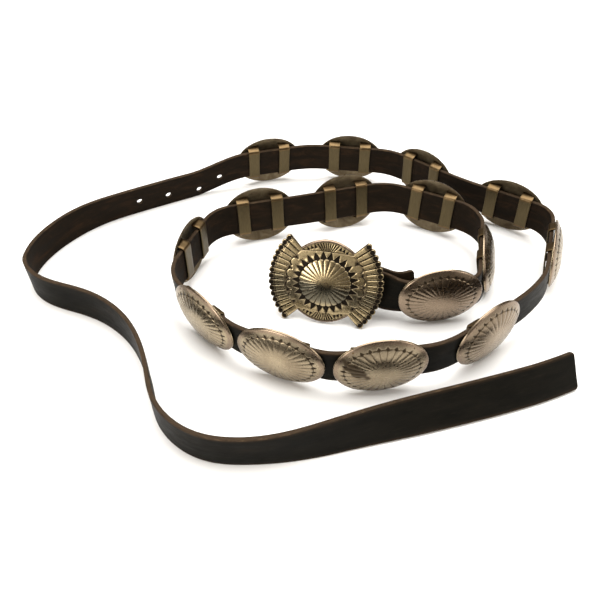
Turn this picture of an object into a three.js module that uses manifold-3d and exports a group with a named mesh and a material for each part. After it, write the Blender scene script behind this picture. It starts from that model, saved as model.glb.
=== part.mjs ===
import * as THREE from 'three';
import { mergeVertices } from 'three/addons/utils/BufferGeometryUtils.js';
import Module from 'manifold-3d';

// A concho belt as it lies on a table. A leather strap stands on its edge and winds in on itself,
// fifteen domed metal conchos are threaded on it, and its inner end folds round a post on the
// back of a fluted buckle. Lengths are millimetres, angles are degrees, +Z is up.

const wasm = await Module();
wasm.setup();

// Driving sizes
const CLEARANCE = 0.3;
const STRAP = { width: 19.5, thick: 2.2 };
const CONCHO = { length: 45, height: 35, depth: 4.6, sheet: 0.9, seat: 27, fullness: 2.4 };
const STRIP = { width: 7.5, thick: 0.9, apart: 21, nick: 0.6, splay: 2 };
const BUCKLE = { plate: 1.4, yaw: -11.5, lean: 20 };
const OVAL = { top: 23, notchX: 14.8, notchY: 16.9 };
const FAN = { flutes: 15, spread: 90, reach: 34.3, offset: 3.6, dip: 1.1, relief: 0.75, root: 17.5 };
const FLUTE_FILL = 0.92;
const CUSHION = { side: 23, top: 17.4, thick: 1.2, bevel: 0.4, margin: 0.5 };
const STAR = { points: 26, halfWidth: 17.2, halfHeight: 16.2, tooth: 2.4, thick: 0.4 };
const PETALS = { halfWidth: 13.9, halfHeight: 13.7, rise: 2.3, groove: 0.3 };
const POST = { radius: 2, along: 16, drop: 2, back: 11, lug: 2.4 };
const HOOK = { along: -17, radius: 1.7, reach: 6, tip: 5 };
const HOLE = { radius: 2 };
const SPACING = 32;
const LEAD_LENGTH = 31.5;
const FLAP_LENGTH = 32;
const TAIL_LENGTH = 527.5;

// The strap's headings and leans are read at knots and joined smoothly. A heading counts on
// through the turns, and a positive lean tips the strap's top outwards from the coil.

// From the post to the first seat, at shares of the lead's length
const LEAD = [
  { at: 0.46, heading: -31, lean: -24 },
  { at: 0.74, heading: -17, lean: -8 },
];

// The folded end behind it, from the post to its cut end
const FLAP = [
  { at: 0.25, heading: -30, lean: -24 },
  { at: 0.45, heading: -38, lean: -27 },
  { at: 0.62, heading: -22, lean: -25 },
  { at: 0.78, heading: 4, lean: -22 },
  { at: 1, heading: 22, lean: -20 },
];

// One row a concho: the free strap before its seat as a share of the spacing
const SEATS = [
  { gap: 0, heading: 7, lean: 0 },
  { gap: 0.735, heading: 75.5, lean: -14 },
  { gap: 1.16, heading: 151, lean: 3 },
  { gap: 0.945, heading: 196.5, lean: 11 },
  { gap: 0.885, heading: 195, lean: 7 },
  { gap: 0.89, heading: 253, lean: 0 },
  { gap: 1.13, heading: 314.5, lean: 5 },
  { gap: 0.635, heading: 337.5, lean: 5 },
  { gap: 0.645, heading: 366.5, lean: 2 },
  { gap: 1.03, heading: 397, lean: 0 },
  { gap: 1.79, heading: 429.5, lean: -9 },
  { gap: 0.945, heading: 505, lean: -5 },
  { gap: 1.1, heading: 496.5, lean: -4 },
  { gap: 0.86, heading: 532, lean: -7 },
  { gap: 0.965, heading: 556, lean: -8 },
];

// Where the free strap before a concho turns its own way, at a share of that gap
const BENDS = [
  { concho: 2, at: 0.5, heading: 62, lean: -9 },
  { concho: 3, at: 0.44, heading: 105, lean: -7 },
  { concho: 11, at: 0.48, heading: 407.5, lean: -2 },
  { concho: 12, at: 0.52, heading: 460.5, lean: -4 },
];

// The plain tail, at shares of its length from the last seat to the tip
const TAIL = [
  { at: 0.083, heading: 568.5, lean: -7 },
  { at: 0.172, heading: 572.5, lean: -8 },
  { at: 0.243, heading: 596, lean: -1 },
  { at: 0.316, heading: 630, lean: -3 },
  { at: 0.339, heading: 658.5, lean: 2 },
  { at: 0.405, heading: 700, lean: 1 },
  { at: 0.462, heading: 680.5, lean: 0 },
  { at: 0.526, heading: 656.5, lean: 0 },
  { at: 0.573, heading: 647.5, lean: 1 },
  { at: 0.627, heading: 678.5, lean: 3 },
  { at: 0.687, heading: 719.5, lean: 4 },
  { at: 0.773, heading: 738, lean: -12 },
  { at: 0.851, heading: 736.5, lean: -27 },
  { at: 0.941, heading: 738.5, lean: -31 },
  { at: 1, heading: 744.5, lean: -30 },
];

// Punched holes: shares of the tail's length and of the strap's width, up from its mid-line
const HOLES = [
  { at: 0.042, up: -0.1 },
  { at: 0.071, up: -0.25 },
  { at: 0.113, up: -0.12 },
  { at: 0.151, up: -0.04 },
];

const LEATHER = { color: 0x2a2420, roughness: 0.5, metalness: 0 };
const SILVER = { color: 0x9c9080, roughness: 0.35, metalness: 1 };

// Solids

const SAME_POINT = 1e-4;

function solidOf(geometry) {
  const bare = geometry.clone();
  bare.deleteAttribute('normal');
  bare.deleteAttribute('uv');
  const merged = mergeVertices(bare, SAME_POINT);
  const corners = merged.index.array;
  const triangles = [];
  for (let k = 0; k < corners.length; k += 3) {
    const [a, b, c] = corners.slice(k, k + 3);
    if (a !== b && b !== c && c !== a) {
      triangles.push(a, b, c);
    }
  }
  return new wasm.Manifold(new wasm.Mesh({
    numProp: 3,
    vertProperties: new Float32Array(merged.attributes.position.array),
    triVerts: new Uint32Array(triangles),
  }));
}

function geometryOf(solid) {
  const mesh = solid.getMesh();
  const geometry = new THREE.BufferGeometry();
  geometry.setAttribute('position', new THREE.BufferAttribute(mesh.vertProperties, 3));
  geometry.setIndex(new THREE.BufferAttribute(mesh.triVerts, 1));
  geometry.computeVertexNormals();
  return geometry;
}

function joined(geometries) {
  return geometries.map(solidOf).reduce((whole, piece) => whole.add(piece));
}

function flatShape(points, depth, bevel = 0) {
  return new THREE.ExtrudeGeometry(new THREE.Shape(points), {
    depth: depth - bevel,
    bevelEnabled: bevel > 0,
    bevelThickness: bevel,
    bevelSize: bevel,
    bevelOffset: -bevel,
    bevelSegments: 1,
  });
}

// A solid of revolution about Z from a profile of unit radius, stretched to an oval
function ovalLathe(profile, segments, halfWidth, halfHeight) {
  const lathe = new THREE.LatheGeometry(profile.map(([r, z]) => new THREE.Vector2(r, z)), segments);
  lathe.rotateX(Math.PI / 2);
  lathe.scale(halfWidth, halfHeight, 1);
  return lathe;
}

// The strap's route

const radians = THREE.MathUtils.degToRad;
const LONGEST_STEP = 14;
const LARGEST_TURN = 7;
const FOLD_STEPS = 9;

function frameAt(heading, lean) {
  const h = radians(heading);
  const tip = radians(lean);
  const side = new THREE.Vector3(Math.sin(h), -Math.cos(h), 0);
  return {
    along: new THREE.Vector3(Math.cos(h), Math.sin(h), 0),
    up: side.clone().multiplyScalar(Math.sin(tip)).setZ(Math.cos(tip)),
    out: side.clone().multiplyScalar(Math.cos(tip)).setZ(-Math.sin(tip)),
  };
}

// Slopes that keep a column of the knots monotone between neighbours
function slopesOf(knots, column) {
  const spans = knots.slice(1).map((knot, k) => knot.s - knots[k].s);
  const rises = spans.map((span, k) => (knots[k + 1][column] - knots[k][column]) / span);
  return knots.map((knot, k) => {
    if (k === 0 || k === spans.length || rises[k - 1] * rises[k] <= 0) {
      return 0;
    }
    const before = spans[k] * 2 + spans[k - 1];
    const after = spans[k] + spans[k - 1] * 2;
    return (before + after) / (before / rises[k - 1] + after / rises[k]);
  });
}

function columnReader(knots, column) {
  const slopes = slopesOf(knots, column);
  return (s) => {
    const k = Math.max(0, Math.min(knots.findLastIndex((knot) => knot.s <= s), knots.length - 2));
    const span = knots[k + 1].s - knots[k].s;
    const t = (s - knots[k].s) / span;
    return (1 + 2 * t) * (1 - t) ** 2 * knots[k][column]
      + t * (1 - t) ** 2 * span * slopes[k]
      + t * t * (3 - 2 * t) * knots[k + 1][column]
      + t * t * (t - 1) * span * slopes[k + 1];
  };
}

// Stations along the knots: each has its distance, centre and frame
function walk(knots, start) {
  const heading = columnReader(knots, 'heading');
  const lean = columnReader(knots, 'lean');
  const height = columnReader(knots, 'height');
  const stationAt = (s, x, y) => (
    { s, centre: new THREE.Vector3(x, y, height(s)), ...frameAt(heading(s), lean(s)) });
  const stations = [stationAt(0, start.x, start.y)];
  for (let k = 1; k < knots.length; k += 1) {
    const span = knots[k].s - knots[k - 1].s;
    const turn = Math.abs(knots[k].heading - knots[k - 1].heading);
    const steps = Math.max(Math.ceil(span / LONGEST_STEP), Math.ceil(turn / LARGEST_TURN));
    for (let n = 1; n <= steps; n += 1) {
      const from = stations[stations.length - 1];
      const s = knots[k - 1].s + (span * n) / steps;
      const middle = frameAt(heading((from.s + s) / 2), 0).along;
      const end = frameAt(heading(s), 0).along;
      const move = middle.multiplyScalar(4).add(from.along).add(end).multiplyScalar((s - from.s) / 6);
      stations.push(stationAt(s, from.centre.x + move.x, from.centre.y + move.y));
    }
  }
  return stations;
}

function between(stations, s) {
  const k = Math.max(1, stations.findIndex((station) => station.s >= s));
  const [from, to] = [stations[k - 1], stations[k]];
  const share = (s - from.s) / (to.s - from.s);
  const mixed = (key) => from[key].clone().lerp(to[key], share);
  return { s, centre: mixed('centre'), along: mixed('along'), up: mixed('up'), out: mixed('out') };
}

// Mid-line heights: where a concho's rim stands on the table, and where the bare strap does
const RIM_BACK = STRAP.thick / 2 + CLEARANCE;
const RIM_FRONT = RIM_BACK + CONCHO.sheet;

function standingHeight(lean) {
  const tip = radians(lean);
  const foot = Math.max(RIM_BACK * Math.sin(tip), RIM_FRONT * Math.sin(tip));
  return (CONCHO.height / 2) * Math.cos(tip) + foot;
}

function lyingHeight(lean) {
  const tip = radians(lean);
  return (STRAP.width * Math.cos(tip) + STRAP.thick * Math.abs(Math.sin(tip))) / 2;
}

// The buckle's own frame: X across it, Y up its face, Z out of its face, from its back's centre
const BUCKLE_FRAME = frameAt(BUCKLE.yaw, -BUCKLE.lean);
const BUCKLE_TURN = new THREE.Matrix4()
  .makeBasis(BUCKLE_FRAME.along, BUCKLE_FRAME.up, BUCKLE_FRAME.out);
const BUCKLE_RISE = Math.max(...fanEdge().map(({ y }) => y)) * Math.cos(radians(BUCKLE.lean));
const POST_CENTRE = new THREE.Vector3(POST.along, -POST.drop, -POST.back)
  .applyMatrix4(BUCKLE_TURN)
  .add(new THREE.Vector3(0, 0, BUCKLE_RISE));
const FOLD_RADIUS = POST.radius + CLEARANCE + STRAP.thick / 2;

function fromPost(side) {
  return POST_CENTRE.clone().addScaledVector(BUCKLE_FRAME.out, side * FOLD_RADIUS);
}

function mainKnots(start) {
  const knots = [{ s: 0, heading: BUCKLE.yaw, lean: -BUCKLE.lean, height: start.z }];
  LEAD.forEach(({ at, heading, lean }) => {
    knots.push({ s: at * LEAD_LENGTH, heading, lean, height: start.z });
  });
  let s = LEAD_LENGTH;
  SEATS.forEach(({ gap, heading, lean }, k) => {
    const bend = BENDS.find(({ concho }) => concho === k + 1);
    if (bend) {
      knots.push({ ...bend, s: s + bend.at * gap * SPACING, height: standingHeight(bend.lean) });
    }
    s += gap * SPACING;
    knots.push({ s, heading, lean, height: standingHeight(lean), seat: true });
    s += CONCHO.seat;
    knots.push({ s, heading, lean, height: standingHeight(lean) });
  });
  TAIL.forEach(({ at, heading, lean }) => {
    knots.push({ s: s + at * TAIL_LENGTH, heading, lean, height: lyingHeight(lean) });
  });
  return knots;
}

function flapStations() {
  const start = fromPost(-1);
  const first = { s: 0, heading: BUCKLE.yaw, lean: -BUCKLE.lean, height: start.z };
  const climb = fromPost(1).z - start.z;
  const rest = FLAP.map(({ at, heading, lean }) => (
    { s: at * FLAP_LENGTH, heading, lean, height: start.z + at * climb }));
  return walk([first, ...rest], start).reverse().map(({ centre, along, up, out }) => (
    { centre, along: along.negate(), up, out: out.negate() }));
}

function foldStations() {
  const { along, up, out } = BUCKLE_FRAME;
  const turn = (angle, a, b) => (
    a.clone().multiplyScalar(Math.cos(angle)).addScaledVector(b, Math.sin(angle)));
  return Array.from({ length: FOLD_STEPS - 1 }, (_, k) => {
    const angle = Math.PI * (1 - (k + 1) / FOLD_STEPS);
    const radial = turn(angle, out, along.clone().negate());
    return {
      centre: POST_CENTRE.clone().addScaledVector(radial, FOLD_RADIUS),
      along: turn(angle, along, out),
      up,
      out: radial,
    };
  });
}

const MAIN_KNOTS = mainKnots(fromPost(1));
const MAIN = walk(MAIN_KNOTS, fromPost(1));
const LAST_SEAT_END = MAIN_KNOTS[MAIN_KNOTS.length - 1 - TAIL.length].s;

// The strap: a bar whose sections follow the stations, with its holes punched through

function strapSolid() {
  const stations = [...flapStations(), ...foldStations(), ...MAIN];
  const spans = stations.length - 1;
  const bar = new THREE.BoxGeometry(1, 1, 1, spans, 1, 1);
  const { position } = bar.attributes;
  for (let k = 0; k < position.count; k += 1) {
    const { centre, up, out } = stations[Math.round((position.getX(k) + 0.5) * spans)];
    const point = centre.clone()
      .addScaledVector(up, position.getY(k) * STRAP.width)
      .addScaledVector(out, position.getZ(k) * STRAP.thick);
    position.setXYZ(k, point.x, point.y, point.z);
  }
  return HOLES.reduce((strap, hole) => strap.subtract(holeSolid(hole)), solidOf(bar));
}

function holeSolid({ at, up }) {
  const station = between(MAIN, LAST_SEAT_END + at * TAIL_LENGTH);
  const punch = new THREE.CylinderGeometry(HOLE.radius, HOLE.radius, STRAP.thick * 3, 16);
  punch.rotateX(Math.PI / 2);
  punch.applyMatrix4(new THREE.Matrix4().makeBasis(station.along, station.up, station.out));
  const centre = station.centre.clone().addScaledVector(station.up, up * STRAP.width);
  punch.translate(centre.x, centre.y, centre.z);
  return solidOf(punch);
}

// A concho in its seat's frame: X along the strap, Y up, Z out of the coil, from the strap's centre.
// Two bent strips soldered inside the dome hold it on the strap.

const DOME_SEGMENTS = 24;
const DOME_RINGS = [0.9, 0.62, 0];
const HOLLOW_RINGS = [0, 0.62];

function domeHeight(r) {
  return CONCHO.depth * (1 - r ** CONCHO.fullness);
}

function conchoLathe(profile) {
  return ovalLathe(profile, DOME_SEGMENTS, CONCHO.length / 2, CONCHO.height / 2);
}

function domeShell() {
  const hollow = HOLLOW_RINGS.map((r) => [r, RIM_BACK + domeHeight(r)]);
  const face = DOME_RINGS.map((r) => [r, RIM_FRONT + domeHeight(r)]);
  const rim = [[1 - CONCHO.sheet / CONCHO.height, RIM_BACK], [1, RIM_BACK], [1, RIM_FRONT]];
  return conchoLathe([...hollow, ...rim, ...face]);
}

// All that lies behind the middle of the dome's sheet, which trims the strips' legs
function behindDome() {
  const middle = RIM_BACK + CONCHO.sheet / 2;
  const far = -RIM_FRONT - CONCHO.depth;
  const cover = DOME_RINGS.map((r) => [r, middle + domeHeight(r)]);
  return conchoLathe([[0, far], [1, far], [1, middle], ...cover]);
}

function stripGeometry(side) {
  const innerFace = -RIM_BACK;
  const outerFace = innerFace - STRIP.thick;
  const inner = STRAP.width / 2 + STRIP.nick;
  const outer = inner + STRIP.thick;
  const top = RIM_FRONT + CONCHO.depth;
  const half = [
    [outer - STRIP.thick / 2, outerFace],
    [outer, outerFace + STRIP.thick / 2],
    [outer + STRIP.splay, top],
    [inner + STRIP.splay, top],
    [inner, innerFace],
  ];
  const mirrored = half.map(([y, z]) => [-y, z]).reverse();
  const points = [...half, ...mirrored].map(([y, z]) => new THREE.Vector2(y, z));
  const strip = flatShape(points, STRIP.width);
  strip.applyMatrix4(new THREE.Matrix4().makeBasis(
    new THREE.Vector3(0, 1, 0),
    new THREE.Vector3(0, 0, 1),
    new THREE.Vector3(1, 0, 0),
  ));
  strip.translate((side * STRIP.apart - STRIP.width) / 2, 0, 0);
  return strip;
}

function conchoSolid() {
  const strips = joined([stripGeometry(-1), stripGeometry(1)]);
  return solidOf(domeShell()).add(strips.intersect(solidOf(behindDome())));
}

// The buckle: a plate with two fluted fans, a raised cushion, a star, a dome of petals, and on
// its back the post for the strap's fold and the hook for the strap's holes

function turned(points, side) {
  return points.map(({ x, y }) => new THREE.Vector2(side * x, side * y));
}

function bulge(half, apex, steps) {
  const control = new THREE.Vector2(0, 2 * apex - half.y);
  const mirrored = new THREE.Vector2(-half.x, half.y);
  return new THREE.QuadraticBezierCurve(half, control, mirrored).getPoints(steps);
}

function fanEdge() {
  const onRay = (angle, radius) => (
    new THREE.Vector2(radius * Math.cos(angle) - FAN.offset, radius * Math.sin(angle)));
  const step = radians(FAN.spread) / FAN.flutes;
  const edge = [];
  for (let k = 0; k < FAN.flutes; k += 1) {
    const from = step * k - radians(FAN.spread) / 2;
    const scallop = new THREE.QuadraticBezierCurve(
      onRay(from, FAN.reach - FAN.dip),
      onRay(from + step / 2, FAN.reach + FAN.dip),
      onRay(from + step, FAN.reach - FAN.dip),
    );
    edge.push(...scallop.getPoints(3).slice(k === 0 ? 0 : 1));
  }
  return edge;
}

const CRESCENT_STEPS = 10;

function plateGeometry() {
  const notch = new THREE.Vector2(OVAL.notchX, OVAL.notchY);
  const half = [...fanEdge(), ...bulge(notch, OVAL.top, CRESCENT_STEPS)];
  return flatShape([...half, ...turned(half, -1)], BUCKLE.plate);
}

function cushionGeometry() {
  const { side, top, margin } = CUSHION;
  const corner = new THREE.Vector2(OVAL.notchX - margin, OVAL.notchY - margin);
  const topEdge = bulge(corner, top - margin, CRESCENT_STEPS);
  const sideEdge = bulge(new THREE.Vector2(corner.y, corner.x), side - margin, CRESCENT_STEPS)
    .map(({ x, y }) => new THREE.Vector2(y, -x))
    .slice(1, -1);
  const half = [...sideEdge, ...topEdge];
  const cushion = flatShape([...half, ...turned(half, -1)], CUSHION.thick, CUSHION.bevel);
  cushion.translate(0, 0, BUCKLE.plate);
  return cushion;
}

const CUSHION_FACE = BUCKLE.plate + CUSHION.thick;

function starGeometry() {
  const corners = Array.from({ length: STAR.points * 2 }, (_, k) => {
    const inwards = k % 2 === 0 ? 0 : STAR.tooth;
    const angle = (Math.PI * k) / STAR.points;
    return new THREE.Vector2(
      (STAR.halfWidth - inwards) * Math.cos(angle),
      (STAR.halfHeight - inwards) * Math.sin(angle),
    );
  });
  const star = flatShape(corners, CUSHION.thick + STAR.thick);
  star.translate(0, 0, BUCKLE.plate);
  return star;
}

// The petals' rings, at shares of the dome's width and of its rise
const PETAL_RINGS = [
  { r: 0.9, rise: 0.3 },
  { r: 0.5, rise: 0.8 },
  { r: 0, rise: 1 },
];

// Every second meridian is a groove, so the dome shows one petal between each two grooves
function petalsGeometry() {
  const base = CUSHION_FACE + STAR.thick;
  const face = PETAL_RINGS.map(({ r, rise }) => [r, base + PETALS.rise * rise]);
  const profile = [[0, CUSHION_FACE], [1, CUSHION_FACE], [1, base], ...face];
  const dome = ovalLathe(profile, STAR.points * 2, PETALS.halfWidth, PETALS.halfHeight);
  const { position } = dome.attributes;
  for (let k = 0; k < position.count; k += 1) {
    const x = position.getX(k) / PETALS.halfWidth;
    const y = position.getY(k) / PETALS.halfHeight;
    const z = position.getZ(k);
    const meridian = Math.round((Math.atan2(y, x) * STAR.points) / Math.PI);
    const groove = Math.abs(meridian % 2) * Math.hypot(x, y) * PETALS.groove;
    position.setZ(k, z > base ? z - groove : z);
  }
  return dome;
}

function fluteGeometries(side) {
  const step = radians(FAN.spread) / FAN.flutes;
  const end = FAN.reach - FAN.dip;
  const radiusAt = (reach) => reach * Math.tan(step / 2) * FLUTE_FILL;
  return Array.from({ length: FAN.flutes }, (_, k) => {
    const flute = new THREE.CylinderGeometry(radiusAt(end), radiusAt(FAN.root), end - FAN.root, 6);
    flute.scale(1, 1, FAN.relief / radiusAt(end));
    flute.translate(0, (end + FAN.root) / 2, BUCKLE.plate);
    flute.rotateZ(step * (k + 0.5) - radians(FAN.spread) / 2 - Math.PI / 2);
    flute.translate(-FAN.offset, 0, 0);
    flute.rotateZ(side > 0 ? 0 : Math.PI);
    return flute;
  });
}

function postGeometries() {
  const lugCentre = STRAP.width / 2 + CLEARANCE * 2 + POST.lug / 2;
  const bar = new THREE.CylinderGeometry(POST.radius, POST.radius, lugCentre * 2, 12);
  bar.translate(POST.along, -POST.drop, -POST.back);
  const depth = POST.back + POST.radius + BUCKLE.plate / 2;
  const lugs = [-1, 1].map((side) => {
    const lug = new THREE.BoxGeometry(POST.radius * 2, POST.lug, depth);
    lug.translate(POST.along, side * lugCentre - POST.drop, BUCKLE.plate / 2 - depth / 2);
    return lug;
  });
  return [bar, ...lugs];
}

function hookGeometry() {
  const { radius, reach, tip } = HOOK;
  const outline = [
    [radius, -reach],
    [radius, BUCKLE.plate / 2],
    [-radius, BUCKLE.plate / 2],
    [-radius, 2 * radius - reach],
    [-radius - tip, 2 * radius - reach],
    [-radius - tip, -reach],
  ];
  const hook = flatShape(outline.map(([x, z]) => new THREE.Vector2(x, z)), radius * 2);
  hook.rotateX(Math.PI / 2);
  hook.translate(HOOK.along, radius, 0);
  return hook;
}

function buckleSolid() {
  return joined([
    plateGeometry(),
    cushionGeometry(),
    starGeometry(),
    petalsGeometry(),
    ...fluteGeometries(1),
    ...fluteGeometries(-1),
    ...postGeometries(),
    hookGeometry(),
  ]);
}

// Assembly

function meshOf(name, geometry, finish) {
  const mesh = new THREE.Mesh(geometry, new THREE.MeshStandardMaterial(finish));
  mesh.name = name;
  return mesh;
}

const strap = meshOf('strap', geometryOf(strapSolid()), LEATHER);

const conchoGeometry = geometryOf(conchoSolid());
const conchos = MAIN_KNOTS.filter((knot) => knot.seat).map((knot, k) => {
  const { centre, along, up, out } = between(MAIN, knot.s + CONCHO.seat / 2);
  const concho = meshOf(`concho_${String(k + 1).padStart(2, '0')}`, conchoGeometry, SILVER);
  concho.applyMatrix4(new THREE.Matrix4().makeBasis(along, up, out).setPosition(centre));
  return concho;
});

const buckle = meshOf('buckle', geometryOf(buckleSolid()), SILVER);
buckle.applyMatrix4(BUCKLE_TURN);
buckle.position.z = BUCKLE_RISE;

const laid = new THREE.Group();
laid.add(strap, ...conchos, buckle);

// The origin is the middle of the belt's own box, on the table
const belt = new THREE.Group();
belt.add(laid);
const box = new THREE.Box3().setFromObject(laid, true);
const middle = box.getCenter(new THREE.Vector3());
laid.position.set(-middle.x, -middle.y, -box.min.z);

export default belt;
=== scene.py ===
"""A concho belt lying on a pale table: a leather strap wound on its edge, fifteen stamped metal
conchos on it, and a fluted buckle at its inner end. Sizes are millimetres and angles degrees
until a mesh is made, which is in metres in the row frame."""

from math import cos, pi, radians, sin, sqrt

import bpy
import numpy as np
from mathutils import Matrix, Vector


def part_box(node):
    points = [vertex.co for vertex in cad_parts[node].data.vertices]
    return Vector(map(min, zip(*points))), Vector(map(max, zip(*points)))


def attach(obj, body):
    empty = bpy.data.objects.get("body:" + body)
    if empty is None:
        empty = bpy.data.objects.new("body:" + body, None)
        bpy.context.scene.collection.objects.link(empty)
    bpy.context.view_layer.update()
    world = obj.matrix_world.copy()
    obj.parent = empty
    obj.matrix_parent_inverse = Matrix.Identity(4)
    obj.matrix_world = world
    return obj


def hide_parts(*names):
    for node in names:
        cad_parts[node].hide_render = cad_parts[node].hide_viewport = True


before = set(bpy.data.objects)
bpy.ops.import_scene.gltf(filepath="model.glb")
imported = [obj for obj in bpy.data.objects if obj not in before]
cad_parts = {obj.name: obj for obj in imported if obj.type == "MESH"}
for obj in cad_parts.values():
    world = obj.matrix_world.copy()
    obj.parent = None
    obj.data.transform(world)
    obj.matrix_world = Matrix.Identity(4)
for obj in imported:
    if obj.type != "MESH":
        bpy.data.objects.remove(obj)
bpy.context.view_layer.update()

MM = 0.001
rng = np.random.default_rng(7)

# Sizes, as in the solids
CLEARANCE = 0.3
STRAP_WIDTH, STRAP_THICK = 19.5, 2.2
CONCHO_LENGTH, CONCHO_HEIGHT = 45.0, 35.0
DOME_DEPTH, SHEET, SEAT, FULLNESS = 4.6, 0.9, 27.0, 2.4
STRIP_WIDTH, STRIP_THICK, STRIP_APART = 7.5, 0.9, 21.0
STRIP_NICK, STRIP_SPLAY = 0.6, 2.0
PLATE, BUCKLE_YAW, BUCKLE_LEAN = 1.4, -11.5, 20.0
OVAL_TOP, NOTCH_X, NOTCH_Y = 23.0, 14.8, 16.9
FLUTES, FAN_SPREAD = 15, 90.0
FAN_REACH, FAN_OFFSET, FAN_ROOT = 34.3, 3.6, 17.5
FAN_DIP, FAN_RELIEF = 1.1, 0.75
CUSHION_SIDE, CUSHION_TOP = 23.0, 17.4
CUSHION_THICK, CUSHION_MARGIN = 1.2, 0.5
STAR_POINTS, STAR_HALF_WIDTH, STAR_HALF_HEIGHT, STAR_THICK = 26, 17.2, 16.2, 0.4
PETAL_HALF_WIDTH, PETAL_RISE = 13.9, 2.3
POST_RADIUS, POST_ALONG, POST_DROP = 2.0, 16.0, 2.0
POST_BACK, POST_LUG = 11.0, 2.4
HOOK_ALONG, HOOK_RADIUS, HOOK_REACH, HOOK_TIP = -17.0, 1.7, 6.0, 5.0
HOLE_RADIUS = 2.0
SPACING, LEAD_LENGTH, FLAP_LENGTH, TAIL_LENGTH = 32.0, 31.5, 32.0, 527.5

# The strap's route, as in the solids: (share of the stretch, heading, lean)
LEAD = [(0.46, -31, -24), (0.74, -17, -8)]
FLAP = [(0.25, -30, -24), (0.45, -38, -27), (0.62, -22, -25), (0.78, 4, -22), (1, 22, -20)]
# (free strap before the seat as a share of the spacing, heading, lean)
SEATS = [
    (0, 7, 0), (0.735, 75.5, -14), (1.16, 151, 3), (0.945, 196.5, 11), (0.885, 195, 7),
    (0.89, 253, 0), (1.13, 314.5, 5), (0.635, 337.5, 5), (0.645, 366.5, 2), (1.03, 397, 0),
    (1.79, 429.5, -9), (0.945, 505, -5), (1.1, 496.5, -4), (0.86, 532, -7), (0.965, 556, -8),
]
# Where the free strap before a concho turns its own way: (share of that gap, heading, lean)
BENDS = {2: (0.5, 62, -9), 3: (0.44, 105, -7), 11: (0.48, 407.5, -2), 12: (0.52, 460.5, -4)}
TAIL = [
    (0.083, 568.5, -7), (0.172, 572.5, -8), (0.243, 596, -1), (0.316, 630, -3), (0.339, 658.5, 2),
    (0.405, 700, 1), (0.462, 680.5, 0), (0.526, 656.5, 0), (0.573, 647.5, 1), (0.627, 678.5, 3),
    (0.687, 719.5, 4), (0.773, 738, -12), (0.851, 736.5, -27), (0.941, 738.5, -31), (1, 744.5, -30),
]
# (share of the tail, share of the width up from the mid-line)
HOLES = [(0.042, -0.1), (0.071, -0.25), (0.113, -0.12), (0.151, -0.04)]

RIM_BACK = STRAP_THICK / 2 + CLEARANCE
RIM_FRONT = RIM_BACK + SHEET

# Camera
CAMERA_ELEVATION = 41.5
CAMERA_DISTANCE = 344.0
CAMERA_LENS = 36.6
LOOK_AT_FROM_POST_FRAME = (-13.49, 10.24, 0.0)


# The strap's route

def frame_at(heading, lean):
    """Unit vectors along the strap, up its face and out of the coil."""
    h, tip = np.radians(heading), np.radians(lean)
    side = np.stack([np.sin(h), -np.cos(h), 0 * h], -1)
    upright = np.array([0, 0, 1.0])
    along = np.stack([np.cos(h), np.sin(h), 0 * h], -1)
    up = side * np.sin(tip)[..., None] + upright * np.cos(tip)[..., None]
    out = side * np.cos(tip)[..., None] - upright * np.sin(tip)[..., None]
    return along, up, out


def standing_height(lean):
    tip = radians(lean)
    return CONCHO_HEIGHT / 2 * cos(tip) + max(RIM_BACK * sin(tip), RIM_FRONT * sin(tip))


def lying_height(lean):
    tip = radians(lean)
    return (STRAP_WIDTH * cos(tip) + STRAP_THICK * abs(sin(tip))) / 2


def slopes_of(s, values):
    spans = np.diff(s)
    rises = np.diff(values) / spans
    slopes = np.zeros(len(s))
    for k in range(1, len(s) - 1):
        if rises[k - 1] * rises[k] > 0:
            before = 2 * spans[k] + spans[k - 1]
            after = spans[k] + 2 * spans[k - 1]
            slopes[k] = (before + after) / (before / rises[k - 1] + after / rises[k])
    return slopes


def read_column(s, values, at):
    slopes = slopes_of(s, values)
    k = np.clip(np.searchsorted(s, at, side="right") - 1, 0, len(s) - 2)
    span = s[k + 1] - s[k]
    t = (at - s[k]) / span
    return ((1 + 2 * t) * (1 - t) ** 2 * values[k] + t * (1 - t) ** 2 * span * slopes[k]
            + t * t * (3 - 2 * t) * values[k + 1] + t * t * (t - 1) * span * slopes[k + 1])


def walk(knots, start, step):
    """Stations every step along the knots (distance, heading, lean, height)."""
    knots = np.array(knots, float)
    s = np.linspace(0, knots[-1, 0], int(np.ceil(knots[-1, 0] / step)) + 1)
    heading, lean, height = (read_column(knots[:, 0], column, s) for column in knots.T[1:])
    middle = np.radians(read_column(knots[:, 0], knots[:, 1], (s[1:] + s[:-1]) / 2))
    ends, move = np.radians(heading), np.diff(s)
    x, y = (np.cumsum((part(ends[1:]) + 4 * part(middle) + part(ends[:-1])) / 6 * move)
            for part in (np.cos, np.sin))
    centre = np.c_[start[0] + np.r_[0, x], start[1] + np.r_[0, y], height]
    along, up, out = frame_at(heading, lean)
    return {"s": s, "centre": centre, "along": along, "up": up, "out": out}


def fan_edge_radius(share):
    """The scalloped end of a fan, by the share across one flute from -0.5 to 0.5."""
    return FAN_REACH - FAN_DIP + FAN_DIP * (1 - 4 * share ** 2)


def highest_fan_point():
    share = np.linspace(-0.5, 0.5, 21)
    angle = np.radians(FAN_SPREAD / 2 - FAN_SPREAD / FLUTES * (0.5 - share))
    return float(np.max(fan_edge_radius(share) * np.sin(angle)))


BUCKLE_ALONG, BUCKLE_UP, BUCKLE_OUT = frame_at(np.array(BUCKLE_YAW), np.array(-BUCKLE_LEAN))
BUCKLE_RISE = highest_fan_point() * cos(radians(BUCKLE_LEAN))
POST_CENTRE = (BUCKLE_ALONG * POST_ALONG - BUCKLE_UP * POST_DROP - BUCKLE_OUT * POST_BACK
               + np.array([0, 0, BUCKLE_RISE]))
FOLD_RADIUS = POST_RADIUS + CLEARANCE + STRAP_THICK / 2
STRAP_STEP = 1.0


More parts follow.
